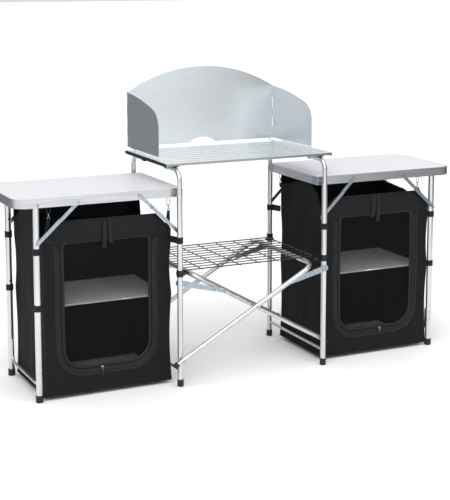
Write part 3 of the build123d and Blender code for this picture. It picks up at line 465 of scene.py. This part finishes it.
def make_wrap(side_name, side, body, seed):
    """Side and back walls in one length of cloth, open at the top and front."""
    path = wrap_path()
    columns = len(path) - 1
    bm = bmesh.new()
    bmesh.ops.create_grid(bm, x_segments=columns, y_segments=46, size=1.0)
    for vert in bm.verts:
        column = round((vert.co.x + 1) / 2 * columns)
        spot, way = path[column]
        share = (vert.co.y + 1) / 2
        depth_in = (spot.y - FRONT_Y) / (shell_high.y - FRONT_Y)
        length_in = (spot.x - shell_low.x) / WIDTH
        wall = "back" if abs(way.y) > 0.7 else "inner" if length_in < 0.5 else "outer"
        z = shell_low.z + share * (wall_top(side_name, wall, depth_in) - shell_low.z)
        along = length_in if abs(way.y) > 0.5 else depth_in
        slack = max(0.0, 1 - abs(2 * along - 1) ** 3)
        folds = crease(column * 0.022, z * 0.6, seed, 0.12, 4.0 * MM)
        folds += crease(column * 0.02, z, seed + 9, 0.05, 0.8 * MM)
        sag = -2.5 * MM * slack - 1.5 * MM + folds * (0.25 + 0.75 * slack)
        if wall == "outer":
            sag += BILLOW * math.sin(math.pi * min(1.0, share * 1.02)) * slack * math.sin(9.0 * z + 1.1)
        sag -= drawn_in(z) * max(0.0, 1 - depth_in / 0.3) ** 1.5 * abs(way.x)
        sag -= drawn_in(z) * max(0.0, 1 - (1 - depth_in) / 0.3) ** 1.5 * 0.8
        ruffle = 5 * MM * noise.noise(Vector((column * 0.35, seed, 1.0))) * max(0.0, share - 0.9) / 0.1
        vert.co = Vector((side * (spot.x + way.x * sag), spot.y + way.y * sag, z + min(0.0, ruffle)))
    if side > 0:
        bmesh.ops.reverse_faces(bm, faces=bm.faces)
    wrap = piece(f"{side_name}_cabinet_wrap", bm, shaded_wall_cloth, body, CLOTH, 1)
    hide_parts(f"{side_name}_cabinet_shell")
    crumples(wrap)


def make_floor(side_name, side, body, seed):
    """Floor cloth under the bottom board."""
    bm = bmesh.new()
    bmesh.ops.create_grid(bm, x_segments=26, y_segments=18, size=1.0)
    for vert in bm.verts:
        x = MIDDLE_X + vert.co.x * (WIDTH / 2 - 3 * MM)
        y = vert.co.y * (DEPTH / 2 - 3 * MM)
        vert.co = Vector((side * x, y, shell_low.z + 1.5 * MM + crease(x, y, seed, 0.08, 1.0 * MM)))
    base = piece(f"{side_name}_cabinet_floor", bm, cloth, body, CLOTH)
    crumples(base)


def make_front(side_name, side, body, seed):
    """Front panel with its window cut out, and the net in the window, a little slack."""
    bm = ring_sheet(panel_edge, window_outline(0), 9)
    set_cloth(bm, side, seed)
    panel = piece(f"{side_name}_cabinet_front", bm, cloth, body, CLOTH, 1, 1.0)
    crumples(panel)

    centre_hole = [window_middle + (p - window_middle) * 0.04 for p in window_outline(0)]
    bm = ring_sheet(window_outline(3 * MM), centre_hole, 12, True)
    set_cloth(bm, side, seed)
    for vert in bm.verts:
        off = Vector((vert.co.x - side * window_middle.x, vert.co.z - window_middle.y)).length
        vert.co.y += CLOTH + 4 * MM * max(0.0, 1 - off / 0.22)
    net = piece(f"{side_name}_window_net", bm, window_net, body)
    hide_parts(f"{side_name}_cabinet_window")
    crumples(net)


def make_tapes(side_name, side, body, seed):
    """Tape round the window, the zip's tape outside it and the doubled header across the top."""
    for part, near, far, lift in (
        ("window_tape", 0.0, 11 * MM, 1.6 * MM),
        ("zip_tape", 17 * MM, 41 * MM, 1.3 * MM),
    ):
        bm = ring_sheet(window_outline(far), window_outline(near), 1)
        set_cloth(bm, side, seed, lift)
        if part == "zip_tape":
            high = [v for v in bm.verts if v.co.z > net_high.z + 6 * MM]
            bmesh.ops.delete(bm, geom=high, context="VERTS")
        crumples(piece(f"{side_name}_{part}", bm, tape, body, 0.8 * MM, 0, 1.0))

    bm = bmesh.new()
    bmesh.ops.create_grid(bm, x_segments=40, y_segments=8, size=1.0)
    for vert in bm.verts:
        share = (vert.co.y + 1) / 2
        z = HEADER_LOW + share * (FRONT_TOP - 2 * MM - HEADER_LOW)
        cut = max(0.0, z - (FRONT_TOP - SHOULDER_Z)) / SHOULDER_Z * SHOULDER_X
        half = WIDTH / 2 - 4 * MM - cut
        vert.co = Vector((MIDDLE_X + vert.co.x * half, 0, z))
    set_cloth(bm, side, seed, 2.2 * MM)
    crumples(piece(f"{side_name}_front_header", bm, header_cloth, body, 1.0 * MM, 0, 1.0))


def make_zip_and_piping(side_name, side, body, seed):
    """The two zip coils round the window and the piping along the front panel's edge."""
    bm = bmesh.new()
    for grow in (26 * MM, 32 * MM):
        track = window_outline(grow)
        start = min(range(len(track)), key=lambda i: (track[i] - Vector((window_middle.x, 2.0))).length)
        track = [p for p in track[start:] + track[:start] if p.y < net_high.z + 2 * MM]
        run = [(side * p.x, front_y(p.x, p.y, seed) - 2.9 * MM, p.y) for p in track]
        cord_along(bm, run, 1.5 * MM)
    crumples(piece(f"{side_name}_window_zip", bm, zip_coil, body))

    bm = bmesh.new()
    edge = []
    for a, b in zip(panel_edge, panel_edge[1:] + panel_edge[:1]):
        for share in (0.0, 0.5):
            p = a.lerp(b, share)
            at_inner = abs(p.x - shell_low.x) < 2 * MM
            at_outer = abs(p.x - shell_high.x) < 2 * MM
            shift = drawn_in(p.y) * (at_inner - at_outer)
            edge.append((side * (p.x + shift), front_y(p.x, p.y, seed) - 0.5 * MM, p.y))
    cord_along(bm, edge, 2.2 * MM, closed=True)
    crumples(piece(f"{side_name}_front_piping", bm, tape, body))


def make_ties(side_name, side, body, seed):
    """Two webbing ties that hold the rolled-up window, sewn in at the top edge."""
    for tag, place, drop in (("a", 0.010, 0.118), ("b", -0.014, 0.100)):
        bm = bmesh.new()
        bmesh.ops.create_grid(bm, x_segments=2, y_segments=16, size=1.0)
        for vert in bm.verts:
            share = (vert.co.y + 1) / 2
            x = MIDDLE_X + place + vert.co.x * 9 * MM + 2 * MM * math.sin(3 * share + place * 90)
            z = FRONT_TOP + 1 * MM - (1 - share) * drop
            belly = 3.5 * MM + 5 * MM * math.sin(math.pi * (1 - share))
            vert.co = Vector((side * x, front_y(x, z, seed) - belly, z))
        crumples(piece(f"{side_name}_window_tie_{tag}", bm, webbing, body, 1.4 * MM))


def make_boards(side_name, side, body, seed):
    """Shelf and bottom boards in their net covers, with a bound edge."""
    for tag, low_z, bow_depth in (("shelf", SHELF_Z, 3 * MM), ("bottom", BOTTOM_Z, 0.0)):
        bm = bmesh.new()
        bmesh.ops.create_grid(bm, x_segments=24, y_segments=16, size=1.0)
        for vert in bm.verts:
            x = MIDDLE_X + vert.co.x * (WIDTH / 2 - BOARD_GAP_X)
            y = vert.co.y * (DEPTH / 2 - BOARD_GAP_Y)
            bow = bow_depth * (1 - vert.co.x**2) * (1 - vert.co.y**2)
            vert.co = Vector((side * x, y, low_z + BOARD - bow + crease(x, y, seed + 2, 0.07, 0.6 * MM)))
        if side < 0:
            bmesh.ops.reverse_faces(bm, faces=bm.faces)
        board = piece(f"{side_name}_{tag}_board", bm, board_net, body, BOARD - 1 * MM, 1)
        if tag == "shelf":
            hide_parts(f"{side_name}_cabinet_boards")
        crumples(board)
        bm = bmesh.new()
        x_low, x_high = shell_low.x + BOARD_GAP_X, shell_high.x - BOARD_GAP_X
        y_edge = DEPTH / 2 - BOARD_GAP_Y
        rim = [(x_low, -y_edge), (x_high, -y_edge), (x_high, y_edge), (x_low, y_edge)]
        around = []
        for (ax, ay), (bx, by) in zip(rim, rim[1:] + rim[:1]):
            for i in range(12):
                around.append((side * (ax + (bx - ax) * i / 12), ay + (by - ay) * i / 12, low_z + BOARD / 2))
        cord_along(bm, around, 3.2 * MM, closed=True)
        crumples(piece(f"{side_name}_{tag}_binding", bm, board_net, body))


def make_hangers(side_name, side, body):
    """Snap hooks on the wire hooks under the table, and the webbing from them to the cabinet's corners."""
    hook_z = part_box(f"{side_name}_cabinet_hooks")[0][2]
    snaps, bands = bmesh.new(), bmesh.new()
    for corner_x, hook_x, hook_y in (
        (shell_low.x + 13 * MM, shell_low.x + 12 * MM, 0.198),
        (shell_high.x - 20 * MM, shell_high.x - 40 * MM, 0.1655),
    ):
        for face in (-1, 1):
            low_z = FRONT_TOP - SHOULDER_Z + 4 * MM if face < 0 else shell_high.z - 62 * MM
            eye = Vector((side * hook_x, face * hook_y, hook_z - 10 * MM))
            turn = [2 * math.pi * i / 14 for i in range(14)]
            link = [eye + Vector((0, 3.6 * MM * math.cos(t), 7 * MM + 7 * MM * math.sin(t))) for t in turn]
            cord_along(snaps, link, 1.3 * MM, closed=True)
            ring = [eye + Vector((5.5 * MM * math.cos(t), 0, -5 * MM + 5 * MM * math.sin(t))) for t in turn]
            cord_along(snaps, ring, 1.3 * MM, closed=True)
            end = eye - Vector((0, 0, 8 * MM))
            start = Vector((side * corner_x, face * (shell_high.y - 4 * MM), low_z))
            for offset in (-8, -4, 0, 4, 8):
                wide = Vector((offset * MM, 0, 0))
                middle = (start + end) / 2 + Vector((0, face * 3 * MM, 0))
                cord_along(bands, [start + wide, middle + 0.8 * wide, end + 0.45 * wide], 2.3 * MM)
    crumples(piece(f"{side_name}_snap_hooks", snaps, zinc, body))
    crumples(piece(f"{side_name}_hook_webbing", bands, webbing, body))


def make_zip_puller(side_name):
    """The slider's tapered body with its arch and wire loop, and the moulded tab on the loop."""
    low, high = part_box(f"{side_name}_zip_slider")
    x, top = (low[0] + high[0]) / 2, high[2]
    body_z = top - 4.5 * MM
    metal = bmesh.new()
    at = Matrix.Translation((x, high[1] - 2.4 * MM, body_z))
    bmesh.ops.create_cube(metal, size=1.0, matrix=at @ Matrix.Diagonal((11.4 * MM, 4.4 * MM, 8.8 * MM, 1)))
    for vert in metal.verts:
        if vert.co.x > x:
            vert.co.z = body_z + (vert.co.z - top + 4.5 * MM) * 0.68
    bmesh.ops.bevel(metal, geom=metal.edges[:], offset=1.1 * MM, segments=3, affect="EDGES", profile=0.5)
    face_y = high[1] - 4.8 * MM
    pull_y = face_y - 1.2 * MM
    half_turn = [math.pi * i / 8 for i in range(9)]
    arch = [(x + 4 * MM * math.cos(t), face_y - 1.4 * MM * math.sin(t), body_z) for t in half_turn]
    cord_along(metal, arch, 0.6 * MM)
    loop = []
    for i in range(20):
        t = 2 * math.pi * i / 20
        rise = (5.5 * MM + 2 * MM * abs(math.cos(t))) * math.sin(t)
        loop.append((x + 3.2 * MM * math.cos(t), pull_y, top - 12 * MM + rise))
    cord_along(metal, loop, 0.7 * MM, closed=True)
    puller = piece(f"{side_name}_zip_puller", metal, zinc, f"{side_name}_zip")
    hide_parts(f"{side_name}_zip_slider")
    crumples(puller)
    tab = bmesh.new()
    tab_height = top - 15 * MM - low[2]
    middle_z = (top - 15 * MM + low[2]) / 2
    at = Matrix.Translation((x, pull_y, middle_z))
    bmesh.ops.create_cube(tab, size=1.0, matrix=at @ Matrix.Diagonal((6.6 * MM, 2.0 * MM, tab_height, 1)))
    upright = [edge for edge in tab.edges if abs(edge.verts[0].co.z - edge.verts[1].co.z) > 5 * MM]
    bmesh.ops.subdivide_edges(tab, edges=upright, cuts=6)
    for vert in tab.verts:
        down = (vert.co.z - middle_z) / tab_height
        vert.co.x = x + (vert.co.x - x) * (0.86 + 0.14 * math.cos(9 * down))
    bmesh.ops.bevel(tab, geom=tab.edges[:], offset=0.35 * MM, segments=2, affect="EDGES", profile=0.5)
    pull_tab = piece(f"{side_name}_zip_tab", tab, black_plastic, f"{side_name}_zip")
    crumples(pull_tab)


panel_edge = [ray_out(front_outline, window_middle, angle) for angle in ANGLES]
for side_name, side, body in SIDES:
    seed = 3.0 + side
    make_wrap(side_name, side, body, seed)
    make_floor(side_name, side, body, seed)
    make_front(side_name, side, body, seed)
    make_tapes(side_name, side, body, seed)
    make_zip_and_piping(side_name, side, body, seed)
    make_ties(side_name, side, body, seed)
    make_boards(side_name, side, body, seed)
    make_hangers(side_name, side, body)
    make_zip_puller(side_name)


# ---- small hardware ------------------------------------------------------------------------------
def screw_heads(name, spots, radius, material, body):
    """Domed screw and rivet heads at (place, outward way) spots."""
    bm = bmesh.new()
    for place, way in spots:
        turned = Vector(way).to_track_quat("Z", "Y").to_matrix().to_4x4()
        flattened = Matrix.Translation(place) @ turned @ Matrix.Diagonal((1, 1, 0.45, 1))
        bmesh.ops.create_uvsphere(bm, u_segments=16, v_segments=8, radius=radius, matrix=flattened)
    return piece(name, bm, material, body)


leg_low, leg_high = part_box("right_outer_legs")
leg_radius = (leg_high[0] - leg_low[0]) / 2
leg_x = (leg_high[0] + leg_low[0]) / 2
leg_y = leg_high[1] - leg_radius
for side_name, side, body in SIDES:
    spots = []
    for z in (0.120, 0.152):
        spots.append(((side * leg_x, -leg_y - leg_radius, z), (0, -1, 0)))
        spots.append(((side * leg_x, leg_y + leg_radius, z), (0, 1, 0)))
    screw_heads(f"{side_name}_crossbar_rivets", spots, 3.4 * MM, zinc, f"{side_name}_outer_frame")
    spots = []
    for z in (0.400, 0.655):
        spots.append(((side * (leg_x + 0.5 * MM), leg_y - leg_radius, z), (0, -1, 0)))
    screw_heads(f"{side_name}_leg_screws", spots, 4.2 * MM, dark_screw, f"{side_name}_outer_frame")


# ---- floor, light and camera ---------------------------------------------------------------------
floor_mesh = bmesh.new()
bmesh.ops.create_grid(floor_mesh, x_segments=1, y_segments=1, size=60.0)
floor_data = bpy.data.meshes.new("studio_floor")
floor_mesh.to_mesh(floor_data)
floor_mesh.free()
floor = bpy.data.objects.new("studio_floor", floor_data)
scene.collection.objects.link(floor)
floor.location.z = -0.0005
# Seamless paper sweep: matt and nearly white.
paper = finish("white_paper_sweep", "#fcfcfc", "#fefefe", (400, 400, 400), (0.9, 0.95), 0.0)
floor_data.materials.append(paper)


def soft_light(name, place, aim, size, power):
    """A square softbox at a place, turned towards a point."""
    lamp = bpy.data.lights.new(name, "AREA")
    lamp.shape = "SQUARE"
    lamp.size = size
    lamp.energy = power
    box = bpy.data.objects.new(name, lamp)
    box.location = place
    box.rotation_euler = (Vector(aim) - Vector(place)).to_track_quat("-Z", "Y").to_euler()
    scene.collection.objects.link(box)


soft_light("key_softbox", (-2.2, -3.6, 3.2), (0, 0, 0.6), 1.6, 34)
soft_light("fill_softbox", (1.6, -4.2, 2.6), (0.2, 0, 0.5), 1.8, 22)

# An even overhead bank, as wide as the room, keeps the paper white to its far edge.
bank = bpy.data.lights.new("overhead_bank", "SUN")
bank.energy = 1.1
bank.angle = math.radians(50)
overhead = bpy.data.objects.new("overhead_bank", bank)
overhead.rotation_euler = (math.radians(24), math.radians(-14), 0)
scene.collection.objects.link(overhead)


def standing_card(name, corners, height, shade):
    """A grey card standing along floor corners; only reflections see it, so metal gets darker edges."""
    bm = bmesh.new()
    feet = [bm.verts.new((x, y, 0.0)) for x, y in corners]
    edges = [bm.edges.new(pair) for pair in zip(feet, feet[1:])]
    raised = bmesh.ops.extrude_edge_only(bm, edges=edges)["geom"]
    top = [v for v in raised if isinstance(v, bmesh.types.BMVert)]
    bmesh.ops.translate(bm, vec=(0, 0, height), verts=top)
    mesh = bpy.data.meshes.new(name)
    bm.to_mesh(mesh)
    bm.free()
    mesh.materials.append(finish(f"{name}_paper", shade, shade, (300, 300, 300), (0.9, 0.95), 0.0))
    card = bpy.data.objects.new(name, mesh)
    scene.collection.objects.link(card)
    for kind in ("camera", "diffuse", "shadow", "transmission"):
        setattr(card, f"visible_{kind}", False)


standing_card("left_card", ((-0.55, 2.1), (-3.0, 2.1), (-3.2, 0.3)), 2.4, "#66696c")
standing_card("right_card", ((1.4, -2.3), (3.6, -2.0), (3.6, 2.4)), 2.2, "#26282b")

world = bpy.data.worlds.new("studio")
scene.world = world
world.use_nodes = True
sky = world.node_tree
look = add_node(sky, "ShaderNodeTexCoord")
split = add_node(sky, "ShaderNodeSeparateXYZ", links={"Vector": look.outputs["Generated"]})
fade = add_node(sky, "ShaderNodeValToRGB", links={"Fac": split.outputs["Z"]})
fade.color_ramp.elements[0].color = linear("#f0f1f2")
fade.color_ramp.elements[1].color = linear("#ffffff")
fade.color_ramp.elements[1].position = 0.5
sky.links.new(fade.outputs["Color"], sky.nodes["Background"].inputs["Color"])
sky.nodes["Background"].inputs["Strength"].default_value = 0.84

camera_data = bpy.data.cameras.new("camera")
camera_data.lens = 92.5
camera_data.sensor_width = 36.0
camera_data.shift_y = -0.18
camera_data.clip_end = 200.0
camera = bpy.data.objects.new("camera", camera_data)
camera.location = (-2.3197, -4.7925, 1.6499)
camera.rotation_euler = (math.radians(90 - 8.417), 0, math.radians(-25.698))
scene.collection.objects.link(camera)
scene.camera = camera
scene.view_settings.view_transform = "Standard"
